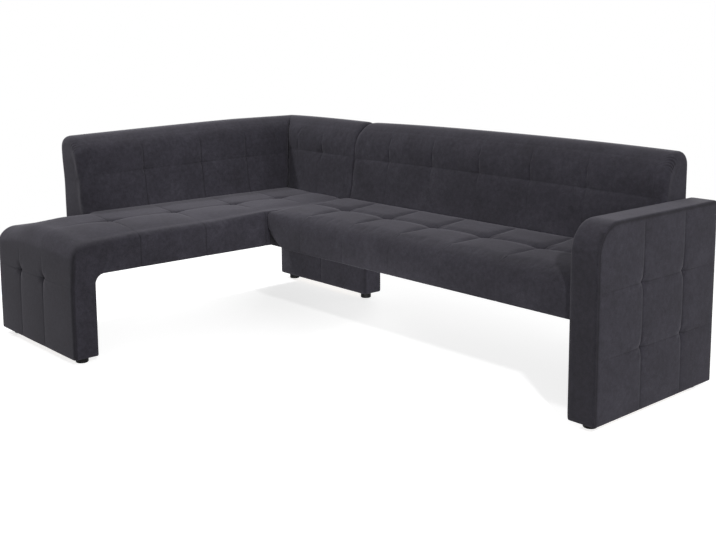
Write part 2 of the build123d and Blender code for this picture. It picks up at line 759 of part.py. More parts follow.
# Bolts that join the two modules, with their nuts
with BuildPart() as module_bolts:
    for y in seat_bolts:
        rod(front_rail, y, bolt_height, "x", module_grip + 2 * bolt_nut_height, bolt_diameter / 2)
        hexagon(front_rail - bolt_head_height, y, bolt_height, "x", bolt_head_height, bolt_head)
keep(module_bolts, "module_bolts")

with BuildPart() as module_nuts:
    for y in seat_bolts:
        hexagon(front_rail + module_grip, y, bolt_height, "x", bolt_nut_height, bolt_head)
        rod(front_rail + module_grip, y, bolt_height, "x", bolt_nut_height, bolt_hole, mode=Mode.SUBTRACT)
keep(module_nuts, "module_nuts")

# Bolts that hold the arm to the long seat frame
with BuildPart() as arm_bolts:
    start = long_core[1] - rail_thickness
    for y in seat_bolts:
        rod(start, y, bolt_height, "x", core_left + bolt_grip - bolt_clearance - start, bolt_diameter / 2)
        hexagon(start - bolt_head_height, y, bolt_height, "x", bolt_head_height, bolt_head)
keep(arm_bolts, "arm_bolts")

# Round moulded feet, turned from one profile
with BuildPart() as foot_form:
    with BuildSketch(Plane.XZ):
        with BuildLine():
            Polyline(
                (0, 0),
                (foot_diameter / 2 - foot_chamfer, 0),
                (foot_diameter / 2, foot_chamfer),
                (foot_diameter / 2, foot_height),
                (0, foot_height),
                close=True,
            )
        make_face()
    revolve(axis=Axis.Z)

end_foot_line = (end_core_rear + end_core_near) / 2
corner_foot_line = (foam_end + corner_core_near) / 2
foot_spots = {
    "end_leg_feet": [(x, end_foot_line) for x in leg_feet],
    "corner_leg_feet": [(x, corner_foot_line) for x in leg_feet],
    "arm_feet": [(arm_foot_line, y) for y in (foot_inset, arm_depth - foot_inset)],
}
for name, spots in foot_spots.items():
    with BuildPart() as feet:
        with Locations(*[(left + x, rear - y) for x, y in spots]):
            add(foot_form.part)
    keep(feet, name)
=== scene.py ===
import json
import math

import bmesh
import bpy
import numpy as np
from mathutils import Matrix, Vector


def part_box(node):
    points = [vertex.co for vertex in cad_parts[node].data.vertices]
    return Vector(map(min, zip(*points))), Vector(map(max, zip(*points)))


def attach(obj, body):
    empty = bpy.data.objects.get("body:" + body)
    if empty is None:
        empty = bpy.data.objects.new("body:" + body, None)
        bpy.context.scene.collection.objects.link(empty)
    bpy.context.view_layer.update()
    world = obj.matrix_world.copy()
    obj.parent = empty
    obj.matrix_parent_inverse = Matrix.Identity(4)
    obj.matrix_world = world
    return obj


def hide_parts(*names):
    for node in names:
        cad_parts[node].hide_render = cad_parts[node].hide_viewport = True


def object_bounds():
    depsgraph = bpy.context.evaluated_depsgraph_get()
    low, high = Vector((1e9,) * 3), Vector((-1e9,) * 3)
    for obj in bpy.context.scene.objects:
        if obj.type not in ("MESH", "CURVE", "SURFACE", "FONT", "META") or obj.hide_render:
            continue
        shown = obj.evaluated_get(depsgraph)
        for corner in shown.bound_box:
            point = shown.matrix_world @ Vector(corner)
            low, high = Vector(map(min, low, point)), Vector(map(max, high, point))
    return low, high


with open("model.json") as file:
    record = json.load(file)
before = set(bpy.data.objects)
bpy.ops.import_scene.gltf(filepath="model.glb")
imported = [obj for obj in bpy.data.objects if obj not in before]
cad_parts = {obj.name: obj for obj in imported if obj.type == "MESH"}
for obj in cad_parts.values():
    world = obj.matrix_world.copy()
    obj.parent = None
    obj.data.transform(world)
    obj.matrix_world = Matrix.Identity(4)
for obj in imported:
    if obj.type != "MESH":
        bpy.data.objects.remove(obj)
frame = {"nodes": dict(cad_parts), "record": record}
cad_low, cad_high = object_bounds()

# Upholstered corner bench. Places are in millimetres: u from the left wall, v from the rear wall, z from the floor.
MM = 0.001


def reach(node):
    """How far a CAD piece goes from the left wall, from the rear wall and up, as three pairs in millimetres."""
    low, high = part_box(node)
    return (
        ((low.x - cad_low.x) / MM, (high.x - cad_low.x) / MM),
        ((cad_high.y - high.y) / MM, (cad_high.y - low.y) / MM),
        (low.z / MM, high.z / MM),
    )


# Sizes from the frame
(_, wing), _, _ = reach("short_seat_pad")
_, (_, bench_depth), (leg_foot, level_seam) = reach("end_leg_cover")
_, (cove_start, _), _ = reach("waterfall_pad")
(_, long_end), _, (underside, _) = reach("long_seat_pad")
(_, bench_width), (_, arm_depth), (_, arm_top) = reach("arm_outer_pad")
(arm_inside, _), _, _ = reach("arm_inner_pad")
_, (back_rear, _), (back_bed, back_top) = reach("long_back_pad")
_, (_, short_back_end), _ = reach("short_back_pad")
_, (_, corner_leg_front), _ = reach("corner_leg_cover")

# Sizes of the upholstery
seat_top = 510.0
bed_depth = 201.0  # how much of a seat its back covers
tuft_line = 425.0  # from the wall to the row of tufts
short_seams = [430.0, 690.0, 1000.0, 1310.0]
long_seams = [925.0, 1203.0, 1481.0, 1759.0, 2037.0]
end_tufts = [tuft_line / 2, tuft_line]
base_gap = 1.5  # between the padding and what it lies on
joint_gap = 0.5  # between two padded pieces side by side
under_wrap = 1.0  # how far the cloth goes down past the boards of a leg
wrap_wide = 14.0  # how far it then goes in under them
cloth_foot = leg_foot - under_wrap


# Shaping
beside_seam = (1.5, 4.0, 8.0, 14.0)
close_step = 5.0
seam_wide = 5.0


def places(start, end, step, marks=(), close=()):
    """Where a pad is cut along one side: evenly, closer together beside its seams, and finely on close spans."""
    fixed = {start, end}
    for first, last in close:
        fixed |= {first + close_step * i for i in range(int((last - first) / close_step) + 1)}
    for mark in marks:
        fixed |= {mark + side * gap for gap in (0.0, *beside_seam) for side in (-1, 1)}
    fixed = sorted(place for place in fixed if start <= place <= end)
    cuts = [start]
    for first, second in zip(fixed, fixed[1:]):
        count = max(1, round((second - first) / step))
        cuts += [first + (second - first) * (i + 1) / count for i in range(count)]
    return cuts


def bend(points, axes, corner, radius):
    """Rounds the edge of a block where two of its sides meet; the radius may differ from point to point."""
    i, j = axes
    middle = (points[:, i].max() + points[:, i].min()) / 2, (points[:, j].max() + points[:, j].min()) / 2
    ways = [1 if corner[k] > middle[k] else -1 for k in (0, 1)]
    away = []
    for axis, place, way in zip(axes, corner, ways):
        away.append(np.maximum(0, (points[:, axis] - place) * way + radius) / radius)
    length = np.hypot(*away)
    inside = (away[0] > 0) & (away[1] > 0)
    share = np.where(inside, np.maximum(*away) / np.maximum(length, 1e-9), 1.0)
    for axis, place, way, part in zip(axes, corner, ways, away):
        moved = place + way * radius * (part * share - 1)
        points[:, axis] = np.where(inside, moved, points[:, axis])


def drawn_in(distance, radius):
    """How far a rounded end draws in, at a distance from its flat face."""
    part = np.clip(1 - distance / radius, 0, 1)
    return radius * (1 - np.sqrt(1 - part**2))


def fade(place, start, end):
    """0 up to the start, 1 from the end on, and a smooth step between them."""
    part = np.clip((place - start) / (end - start), 0, 1)
    return part * part * (3 - 2 * part)


def graded(place, steps):
    """A value that goes evenly from step to step, where each step is a place with its value."""
    return np.interp(place, list(steps), list(steps.values()))


def near(distance, wide):
    """1 on a line or a point, and next to 0 from two widths away."""
    return np.exp(-((distance / wide) ** 2))


def round_tuft(away, wide):
    """1 at a tuft, dying away slowly round it."""
    return np.exp(-away / wide)


def crease(distance, deep=1.0, wide=seam_wide):
    """A sharp fold along a line."""
    return -deep * np.exp(-np.abs(distance) / wide)


def hollow(distance, deep, wide):
    """The dent at a tuft."""
    return -deep * np.exp(-((distance / wide) ** 1.6))


def swell(place, stops, power=2.4):
    """0 on the stops and 1 halfway between them."""
    stops = np.array(stops)
    k = np.clip(np.searchsorted(stops, place) - 1, 0, len(stops) - 2)
    part = np.clip((place - stops[k]) / (stops[k + 1] - stops[k]), 0, 1)
    return 1 - np.abs(2 * part - 1) ** power


def off(place, marks):
    """Signed distance to the nearest mark."""
    gaps = place[:, None] - np.array(marks)[None, :]
    return gaps[np.arange(len(place)), np.abs(gaps).argmin(axis=1)]


def pulls(beside, above, count, deep, ring, turn):
    """Short folds that run out from a tuft like a star."""
    away = np.hypot(beside, above)
    star = np.cos(count * np.arctan2(above, beside) + turn)
    return deep * star * near(away - ring, 0.7 * ring) * fade(away, 4, 18)


class Pad:
    """A closed upholstered form, cut from a block of quads and shaped by moving its points."""

    hold_grades = 10
    cloth_frames = 20

    def __init__(self, name, cuts):
        block = bmesh.new()
        bmesh.ops.create_cube(block, size=1.0)
        for axis, marks in enumerate(cuts):
            along = [e for e in block.edges if abs(e.verts[0].co[axis] - e.verts[1].co[axis]) > 0.5]
            bmesh.ops.subdivide_edges(block, edges=along, cuts=len(marks) - 2, use_grid_fill=True)
        mesh = bpy.data.meshes.new(name)
        block.to_mesh(mesh)
        block.free()
        places_now = np.empty(len(mesh.vertices) * 3)
        mesh.vertices.foreach_get("co", places_now)
        share = places_now.reshape(-1, 3) + 0.5
        self.cut = np.empty_like(share)
        for axis, marks in enumerate(cuts):
            step = np.rint(share[:, axis] * (len(marks) - 1)).astype(int)
            self.cut[:, axis] = np.array(marks)[step]
        self.points = self.cut.copy()
        self.seam_and_shade = np.zeros(len(share))
        self.mesh = mesh
        self.piece = bpy.data.objects.new(name, mesh)
        bpy.context.scene.collection.objects.link(self.piece)

    def settle(self):
        """Writes the points to the mesh, in metres in the frame, with its faces outwards."""
        room = self.points * MM
        room[:, 0] += cad_low.x
        room[:, 1] = cad_high.y - room[:, 1]
        self.mesh.vertices.foreach_set("co", room.ravel())
        form = bmesh.new()
        form.from_mesh(self.mesh)
        bmesh.ops.recalc_face_normals(form, faces=form.faces)
        form.to_mesh(self.mesh)
        form.free()
        self.mesh.update()

    def facing(self):
        """The way out of the cloth at each point."""
        self.settle()
        ways = np.empty(len(self.mesh.vertices) * 3)
        self.mesh.vertex_normals.foreach_get("vector", ways)
        return ways.reshape(-1, 3) * (1, -1, 1)

    def push(self, amount):
        """Moves each point outwards by its amount in millimetres."""
        self.points += self.facing() * amount[:, None]

    def fill_out(self, held, most):
        """Lets the foam blow up the cloth between the places where it is held, by a few millimetres at most."""
        self.settle()
        group = self.piece.vertex_groups.new(name="held")
        grades = np.rint(np.clip(held, 0, 1) * self.hold_grades).astype(int)
        for grade in range(1, self.hold_grades + 1):
            group.add(np.flatnonzero(grades == grade).tolist(), grade / self.hold_grades, "REPLACE")
        cloth = self.piece.modifiers.new("cloth", "CLOTH")
        cloth.settings.mass = 0.4
        cloth.settings.tension_stiffness = cloth.settings.compression_stiffness = 12.0
        cloth.settings.shear_stiffness = 6.0
        cloth.settings.bending_stiffness = 1.5
        cloth.settings.use_pressure = True
        cloth.settings.uniform_pressure_force = 4.0
        cloth.settings.shrink_min = -0.008
        cloth.settings.vertex_group_mass = "held"
        cloth.settings.effector_weights.gravity = 0.0
        cloth.point_cache.frame_start, cloth.point_cache.frame_end = 1, self.cloth_frames
        scene = bpy.context.scene
        for moment in range(1, self.cloth_frames + 1):
            scene.frame_set(moment)
        blown = self.piece.evaluated_get(bpy.context.evaluated_depsgraph_get()).data
        after = np.empty(len(blown.vertices) * 3)
        blown.vertices.foreach_get("co", after)
        before = np.empty_like(after)
        self.mesh.vertices.foreach_get("co", before)
        moved = (after - before).reshape(-1, 3) * (1, -1, 1) / MM
        length = np.linalg.norm(moved, axis=1, keepdims=True)
        self.points += moved * np.minimum(1, most / np.maximum(length, 1e-6))
        self.piece.modifiers.remove(cloth)
        self.piece.vertex_groups.remove(group)
        scene.frame_set(1)

    def darken(self, amount):
        """Darkens the cloth, from 0 for not at all to 1 for almost black."""
        self.seam_and_shade = np.maximum(self.seam_and_shade, amount)

    def sew(self, distance, where, dark=0.55, wide=2.5):
        """Darkens the cloth along a line: at seams and at edges where the pile opens, and as painted shade where a
        seat runs in under its back.
        """
        self.darken(where * dark * near(distance, wide))

    def done(self, fill, material, slot, *nodes):
        """Finishes the piece and puts it in the place of its CAD nodes."""
        self.settle()
        self.mesh.attributes.new("seam_and_shade", "FLOAT", "POINT").data.foreach_set("value", self.seam_and_shade)
        self.mesh.polygons.foreach_set("use_smooth", [True] * len(self.mesh.polygons))
        self.mesh.materials.append(material)
        finer = self.piece.modifiers.new("finer", "SUBSURF")
        finer.levels = finer.render_levels = 1
        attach(self.piece, "root")
        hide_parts(*nodes)


# What the two seats share
bed_floor = back_bed - 3
bed_top = seat_top + 8
bed_round = 10.0
# How dark the painted shade is along the foot of a back, where a seat runs in under it.
bed_painted_shade = 0.8
seam_hold = 7.0
row_hold = 9.0
most_seat_fill = 5.0


def sink_bed(points, outside, upper):
    """Lowers the top of a seat where a back stands on it, and rolls it up again over a short way outside."""
    part = np.clip(outside / bed_round, 0, 1)
    roll = bed_floor + (bed_top - bed_floor) * np.sqrt(1 - (1 - part) ** 2)
    sunk = upper & (outside <= bed_round)
    points[:, 2] = np.where(sunk, np.minimum(points[:, 2], roll), points[:, 2])


def clear_of_back(across):
    """0 beside a back and 1 near the row of tufts, since the cross seams die out towards the back."""
    return fade(across, bed_depth + 10, tuft_line - 60)


def seat_cushion(along, across, seams, stops, front):
    """How far a tufted seat top stands off its flat form: panels between the cross seams, rows, pulls and tufts."""
    panel_crown, row_crown, whole_crown, rear_crown = 3.0, 3.0, 4.0, 7.0
    from_seam = off(along, seams)
    from_line = across - tuft_line
    away = np.hypot(from_seam, from_line)
    panels = panel_crown * swell(along, stops)
    rows = (
        row_crown * swell(across, [bed_depth, tuft_line, front], 3.5)
        + whole_crown * swell(across, [bed_depth - 80, front])
        + rear_crown * fade(across, 30, 120) * (1 - fade(across, bed_depth + 20, tuft_line - 30))
    )
    cross = crease(from_seam) * (0.7 + 5.0 * round_tuft(away, 60))
    level = crease(from_line, wide=7.0) * (0.3 + 7.0 * round_tuft(away, 48))
    to_front = 1 - fade(across, front - 90, front)
    to_back = 0.2 + 0.8 * clear_of_back(across)
    tufts = hollow(np.hypot(from_seam / 1.8, from_line), 9.0, 17.0)
    folds = pulls(from_seam, from_line, count=5, deep=0.9, ring=34.0, turn=0.6)
    return (panels + cross) * to_front * to_back + rows + level + tufts + folds


def front_creases(from_seam, across, outer, deep):
    """The cross seams carried on down the front band of a seat."""
    return crease(from_seam, deep) * fade(across, wing - 60, wing - 10) * (1 - outer)


def wrap_under(points, bottom, border):
    """Takes the cloth round the lower edges of a leg, and leaves the boards bare inside them."""
    turned_in = np.where(border < wrap_wide, cloth_foot, leg_foot + base_gap)
    points[:, 2] = np.where(bottom, turned_in, points[:, 2])


# Materials

def linear(colour):
    """An sRGB hex colour as linear values."""
    parts = [int(colour[i:i + 2], 16) / 255 for i in (1, 3, 5)]
    return (*[c / 12.92 if c <= 0.04045 else ((c + 0.055) / 1.055) ** 2.4 for c in parts], 1.0)


def add(tree, kind, inputs=(), **settings):
    """Adds a node with its settings; an input is a value or a socket to link."""
    made = tree.nodes.new(kind)
    for name, value in settings.items():
        setattr(made, name, value)
    for name, value in dict(inputs).items():
        if isinstance(value, bpy.types.NodeSocket):
            tree.links.new(value, made.inputs[name])
        else:
            made.inputs[name].default_value = value
    return made


def blank(name):
    """A new material and its tree, which is empty."""
    material = bpy.data.materials.new(name)
    material.use_nodes = True
    material.node_tree.nodes.clear()
    return material, material.node_tree


def ramp(tree, value, *stops):
    """Turns a value into a colour, by stops of a value with its colour."""
    made = add(tree, "ShaderNodeValToRGB", {"Fac": value})
    band = made.color_ramp.elements
    while len(band) < len(stops):
        band.new(0.5)
    for element, (place, colour) in zip(band, stops):
        element.position = place
        element.color = linear(colour)
    return made.outputs["Color"]


def mixed(tree, factor, first, second, blend="MIX"):
    """Two colours mixed."""
    inputs = {"Factor": factor, "A": first, "B": second}
    return add(tree, "ShaderNodeMix", inputs, data_type="RGBA", blend_type=blend).outputs[2]


def velour_cloth():
    """Knitted polyester velour in anthracite. The short pile scatters light at its tips, so slopes and far
    edges look paler, and brushing leaves broad soft patches."""
    material, tree = blank("anthracite_velour")
    place = add(tree, "ShaderNodeTexCoord").outputs["Object"]
    brushed = add(tree, "ShaderNodeTexNoise", {"Vector": place, "Scale": 1 / 0.14, "Detail": 3.0, "Roughness": 0.6})
    stroke = add(tree, "ShaderNodeTexNoise", {"Vector": place, "Scale": 1 / 0.018, "Detail": 4.0, "Roughness": 0.7})
    # Pile is under 1 mm apart; it is drawn at 3 mm so that it shows.
    pile = add(tree, "ShaderNodeTexNoise", {"Vector": place, "Scale": 1 / 0.003, "Detail": 2.0, "Roughness": 0.7})
    colour = ramp(tree, brushed.outputs["Fac"], (0.3, "#2f2d34"), (0.55, "#35333b"), (0.75, "#3c3a42"))
    mottle = ramp(tree, stroke.outputs["Fac"], (0.3, "#c8c8c8"), (0.7, "#ffffff"))
    fleck = ramp(tree, pile.outputs["Fac"], (0.35, "#d8d8d8"), (0.7, "#ffffff"))
    shade = mixed(tree, 1.0, mottle, fleck, "MULTIPLY")
    shade = mixed(tree, 1.0, colour, shade, "MULTIPLY")
    # The attribute darkens the cloth towards near black: along real seams and along edges where the pile opens, and
    # as painted shade in creases, folds and recesses, on the short seat's end face and on the arm's front band.
    seam_and_shade = add(tree, "ShaderNodeAttribute", attribute_name="seam_and_shade")
    sewn_and_shaded = mixed(tree, seam_and_shade.outputs["Fac"], shade, linear("#0a090b"))
    depth = add(tree, "ShaderNodeMath", {0: pile.outputs["Fac"], 1: stroke.outputs["Fac"]}, operation="ADD")
    bump = add(tree, "ShaderNodeBump", {"Height": depth.outputs[0], "Strength": 0.4, "Distance": 0.0006})
    cloth = add(tree, "ShaderNodeBsdfPrincipled", {
        "Base Color": sewn_and_shaded, "Roughness": 0.9, "Specular IOR Level": 0.15, "Sheen Weight": 0.22,
        "Sheen Roughness": 0.5, "Sheen Tint": linear("#b9b6c0"), "Normal": bump.outputs["Normal"],
    })
    add(tree, "ShaderNodeOutputMaterial", {"Surface": cloth.outputs[0]})
    return material


def plain_cloth(name, dark, pale, thread):
    """A thin woven or non-woven lining, matt and slightly uneven."""
    material, tree = blank(name)
    place = add(tree, "ShaderNodeTexCoord").outputs["Object"]
    weave = add(tree, "ShaderNodeTexNoise", {"Vector": place, "Scale": 1 / thread, "Detail": 3.0})
    colour = ramp(tree, weave.outputs["Fac"], (0.3, dark), (0.7, pale))
    bump = add(tree, "ShaderNodeBump", {"Height": weave.outputs["Fac"], "Strength": 0.4, "Distance": 0.0004})
    cloth = add(tree, "ShaderNodeBsdfPrincipled", {
        "Base Color": colour, "Roughness": 0.92, "Specular IOR Level": 0.15, "Normal": bump.outputs["Normal"],
    })
    add(tree, "ShaderNodeOutputMaterial", {"Surface": cloth.outputs[0]})
    return material


def wood(name, dark, pale, stretch):
    """Sawn softwood or pressed board with its grain along one side."""
    material, tree = blank(name)
    place = add(tree, "ShaderNodeTexCoord").outputs["Object"]
    along = add(tree, "ShaderNodeMapping", {"Vector": place, "Scale": stretch})
    grain = add(tree, "ShaderNodeTexNoise", {"Vector": along.outputs[0], "Scale": 1 / 0.006, "Detail": 4.0})
    colour = ramp(tree, grain.outputs["Fac"], (0.3, dark), (0.7, pale))
    bump = add(tree, "ShaderNodeBump", {"Height": grain.outputs["Fac"], "Strength": 0.3, "Distance": 0.0004})
    timber = add(tree, "ShaderNodeBsdfPrincipled", {
        "Base Color": colour, "Roughness": 0.75, "Specular IOR Level": 0.3, "Normal": bump.outputs["Normal"],
    })
    add(tree, "ShaderNodeOutputMaterial", {"Surface": timber.outputs[0]})
    return material


def hard(name, dark, pale, metallic, rough, grit):
    """Moulded plastic, paint or plating with a fine grit in its gloss."""
    material, tree = blank(name)
    place = add(tree, "ShaderNodeTexCoord").outputs["Object"]
    grains = add(tree, "ShaderNodeTexNoise", {"Vector": place, "Scale": 1 / grit, "Detail": 3.0})
    colour = ramp(tree, grains.outputs["Fac"], (0.3, dark), (0.7, pale))
    gloss = add(tree, "ShaderNodeMapRange", {
        "Value": grains.outputs["Fac"], "To Min": rough - 0.08, "To Max": rough + 0.08,
    })
    bump = add(tree, "ShaderNodeBump", {"Height": grains.outputs["Fac"], "Strength": 0.15, "Distance": 0.0002})
    body = add(tree, "ShaderNodeBsdfPrincipled", {
        "Base Color": colour, "Metallic": metallic, "Roughness": gloss.outputs["Result"],
        "Specular IOR Level": 0.15, "Normal": bump.outputs["Normal"],
    })
    add(tree, "ShaderNodeOutputMaterial", {"Surface": body.outputs[0]})
    return material


velour = velour_cloth()
finishes = {
    "velour": velour,
    "dust_cloth": plain_cloth("black_spunbond", "#131313", "#1d1d1d", 0.002),
    "rear_cloth": plain_cloth("anthracite_flat_weave", "#29272c", "#37353b", 0.002),
    "webbing": plain_cloth("black_elastic_webbing", "#161616", "#242424", 0.003),
    "timber": wood("sawn_spruce", "#a9875c", "#c9aa7c", (0.08, 0.08, 1.0)),
    "board": wood("pressed_board", "#94764f", "#b59468", (0.6, 0.6, 0.6)),
    "bracket_steel": hard("black_painted_steel", "#161616", "#1e1e1e", 0.0, 0.45, 0.002),
    "fastener_steel": hard("zinc_plated_steel", "#9c9c98", "#b4b4b0", 1.0, 0.38, 0.001),
    "foot_plastic": hard("black_moulded_polypropylene", "#070707", "#0b0b0c", 0.0, 0.6, 0.0015),
}
for row in frame["record"]["subparts"]:
    mesh = frame["nodes"][row["node"]].data
    mesh.materials.clear()
    mesh.materials.append(finishes[row["material_slot"]])


# Short seat: the seat, the nose at its end and the leg under it in one run of cloth
nose = 66.0
cove = underside - level_seam
nose_start = bench_depth - nose
face_start = nose_start + nose * math.pi / 2
end_seam = face_start + seat_top - nose - level_seam
run_end = end_seam + level_seam - leg_foot + under_wrap
thick = seat_top - underside
bed_end = short_back_end - 4
before_nose = 1500.0
seat_edge = 8.0
rear_fall = 40.0


def outer_line(run):
    """Distance from the rear wall and height of the outer cloth, at a length along it."""
    turn = np.clip((run - nose_start) / nose, 0, math.pi / 2)
    deep = np.minimum(run, nose_start) + nose * np.sin(turn)
    high = seat_top - nose + nose * np.cos(turn) - np.maximum(0, run - face_start)
    return deep, high


def inner_line(run):
    """The same for the inner cloth, which turns down in the cove."""
    turn = np.clip((run - cove_start) / (end_seam - cove_start), 0, 1) * math.pi / 2
    deep = np.minimum(run, cove_start) + cove * np.sin(turn)
    high = level_seam + cove * np.cos(turn) - np.maximum(0, run - end_seam)
    return deep, high


short_seat = Pad("short_seat_cushion", [
    places(0.0, run_end, 13.0, [*short_seams, bed_end, end_seam]),
    places(0.0, wing, 13.0, [tuft_line, *end_tufts, wing - seat_edge]),
    places(0.0, thick, 11.0, [thick - seat_edge]),
])
run, across, height = short_seat.cut.T.copy()
front_round = graded(run, {
    0: 8, wing - 40: 9, wing + 5: 22, wing + 280: 36, before_nose: 32, face_start: 24, end_seam: 14,
})
rear_round = graded(run, {0: 38, before_nose: 36, face_start: 20, end_seam: 12})
bend(short_seat.points, (1, 2), (wing, thick), front_round)
bend(short_seat.points, (1, 2), (0.0, thick), rear_round)
bend(short_seat.points, (1, 2), (wing, 0.0), 10.0)
bend(short_seat.points, (1, 2), (0.0, 0.0), 8.0)
# The top falls a little towards its front edge, most of all at the nose.
front_fall = graded(run, {
    wing: 0, wing + 250: 14, short_seams[-1] - 10: 15, nose_start + 20: 30, face_start: 16, end_seam: 0,
})
to_front = np.clip((short_seat.points[:, 1] - tuft_line) / (wing - tuft_line), 0, 1) ** 1.5
share = short_seat.points[:, 2] / thick
share *= 1 - front_fall / thick * to_front
outer_deep, outer_high = outer_line(run)
inner_deep, inner_high = inner_line(run)
short_seat.points = np.column_stack([
    short_seat.points[:, 1],
    inner_deep + (outer_deep - inner_deep) * share,
    inner_high + (outer_high - inner_high) * share,
])
outer = fade(height, thick - 40, thick)
seat_part = 1 - fade(run, before_nose - 80, before_nose + 60)
cushion = seat_cushion(run, across, short_seams, [60, *short_seams, end_seam], wing - 50)
cushion *= outer * fade(run, 20, 100)
from_cross = off(run, short_seams)
front_seams = front_creases(from_cross, across, outer, 1.6)
from_end_seam = run - end_seam
from_end_upright = off(across, end_tufts)
away = np.hypot(from_end_seam, from_end_upright)
end_face = outer * fade(run, face_start - 40, face_start + 40)
upright_crease = 0.9 * fade(run, end_seam - 4, end_seam + 4) + 4.0 * round_tuft(away, 40)
end_cushion = (
    2.0 * swell(across, [0, *end_tufts, wing]) * fade(run, end_seam - 60, end_seam + 30)
    + crease(from_end_seam) * (1.0 + 4.0 * round_tuft(away, 50))
    + crease(from_end_upright) * upright_crease
    + hollow(away, 6.0, 16.0)
    + pulls(from_end_seam, from_end_upright, count=6, deep=0.8, ring=30.0, turn=1.1)
)
short_seat.push(cushion * seat_part + front_seams + end_cushion * end_face)
u, v, z = short_seat.points.T
upper = height > thick / 2
outside = np.minimum(np.where(v < bed_end, u - bed_depth, np.inf), v - bed_depth)
sink_bed(short_seat.points, outside, upper)
# The rear edge falls away just past the end of the short back.
past_back = fade(v, short_back_end - 22, short_back_end)
z -= rear_fall * (1 - fade(u, 0, 300)) * past_back * fade(z, 340, seat_top - 5)
border = np.minimum.reduce([across, wing - across, height, thick - height])
wrap_under(short_seat.points, run > run_end - 0.1, border)
held = np.maximum.reduce([
    near(from_cross, seam_hold) * seat_part * clear_of_back(across),
    near(from_end_seam, seam_hold),
    1 - fade(height, thick - 60, thick),
    1 - fade(outside, 10, 30),
    fade(run, end_seam - 200, end_seam - 60),
    near(across - tuft_line, row_hold) * 0.6,
])
short_seat.fill_out(held, most_seat_fill)
on_end = end_face > 0.5
on_top = (outer > 0.5) | (across > wing - 1)
from_edge = np.hypot(wing - across, thick - height)
short_seat.sew(from_cross, on_top * seat_part * (0.3 + 0.7 * clear_of_back(across)), 0.5)
short_seat.sew(from_end_seam, on_end, 0.5)
short_seat.sew(from_end_upright, on_end & (run > end_seam - 1), 0.5)
short_seat.sew(from_edge, fade(run, face_start - 90, face_start + 20), 0.7, 11.0)
# Painted shade along the foot of the back, where the seat runs in under it.
short_seat.sew(np.maximum(outside - 3, 0), upper, bed_painted_shade, 6.0)
# Painted shade: the end face is darkened, as if turned away from the light.
short_seat.darken(0.5 * on_end * fade(run, face_start - 60, face_start + 60))
short_seat.done(0.8, velour, "velour", "short_seat_pad", "waterfall_pad", "end_leg_cover")

# Long seat, from the short seat to the arm
long_start = wing + joint_gap
long_stop = long_end - joint_gap
long_foot = underside + base_gap
pull_deep = 15.0
long_seat = Pad("long_seat_cushion", [
    places(long_start, long_stop, 13.0, [long_start, *long_seams, long_stop]),
    places(0.0, wing, 13.0, [tuft_line, wing]),
    places(long_foot, seat_top, 11.0),
])
run, across, height = long_seat.cut.T.copy()
forward = fade(across, wing - 230, wing)
bend(long_seat.points, (0, 1), (long_start, wing), 8.0)
bend(long_seat.points, (0, 2), (long_start, seat_top), 9.0)
bend(long_seat.points, (0, 2), (long_start, long_foot), 8.0)
bend(long_seat.points, (0, 1), (long_stop, wing), 10.0)
bend(long_seat.points, (0, 2), (long_stop, seat_top), 30.0)
bend(long_seat.points, (1, 2), (wing, seat_top), graded(run, {wing: 24, wing + 300: 68}))
bend(long_seat.points, (1, 2), (wing, long_foot), 10.0)
outer = fade(height, seat_top - 40, seat_top)
from_cross = off(run, long_seams)
cushion = seat_cushion(run, across, long_seams, [wing, *long_seams, long_end], wing - 55) * outer
long_seat.push(cushion + front_creases(from_cross, across, outer, 0.7))
u, v, z = long_seat.points.T
# The lower corner beside the short seat is pulled back.
corner_width = graded(z, {underside: 105, underside + 11: 89, underside + 47: 38, underside + 88: 0})
pulled_back_and_shaded = fade(corner_width - (u - wing), -6, 12) * fade(v, wing - 60, wing - 20)
v -= pull_deep * pulled_back_and_shaded
upper = height > underside + 80
sink_bed(long_seat.points, v - bed_depth, upper)
held = np.maximum.reduce([
    near(from_cross, seam_hold) * (1 - forward) * clear_of_back(across),
    1 - fade(height, seat_top - 60, seat_top),
    1 - fade(v - bed_depth, 10, 30),
    fade(across, wing - 60, wing - 20) * 0.7,
    pulled_back_and_shaded,
    near(across - tuft_line, row_hold) * 0.6,
    1 - fade(run, wing, wing + 40),
    fade(run, long_end - 40, long_end),
])
long_seat.fill_out(held, most_seat_fill)
long_seat.sew(from_cross, (outer > 0.5) * (1 - 0.8 * forward) * clear_of_back(across), 0.4)
# Painted shade in the pulled-back lower corner beside the short seat.
long_seat.darken(0.8 * pulled_back_and_shaded)
# Painted shade along the foot of the back, where the seat runs in under it.
long_seat.sew(np.maximum(v - bed_depth - 3, 0), upper, bed_painted_shade, 6.0)
long_seat.done(0.8, velour, "velour", "long_seat_pad")

# Corner leg
corner_leg = Pad("corner_leg_padding", [
    places(0.0, wing, 20.0, [wing / 2]),
    places(0.0, corner_leg_front, 15.0),
    places(cloth_foot, underside - 1, 20.0),
])
run, across, height = corner_leg.cut.T.copy()
for place in (0.0, wing):
    bend(corner_leg.points, (0, 1), (place, corner_leg_front), 10.0)
front = fade(across, corner_leg_front - 20, corner_leg_front)
from_seam = run - wing / 2
corner_leg.push(front * (2.0 * swell(run, [0, wing / 2, wing]) + crease(from_seam, 2.0)))
border = np.minimum.reduce([run, wing - run, across, corner_leg_front - across])
wrap_under(corner_leg.points, height < leg_foot, border)
corner_leg.sew(from_seam, front)
corner_leg.sew(np.hypot(wing - run, corner_leg_front - across), 1.0, 0.5, 8.0)
corner_leg.done(0.9, velour, "velour", "corner_leg_cover")


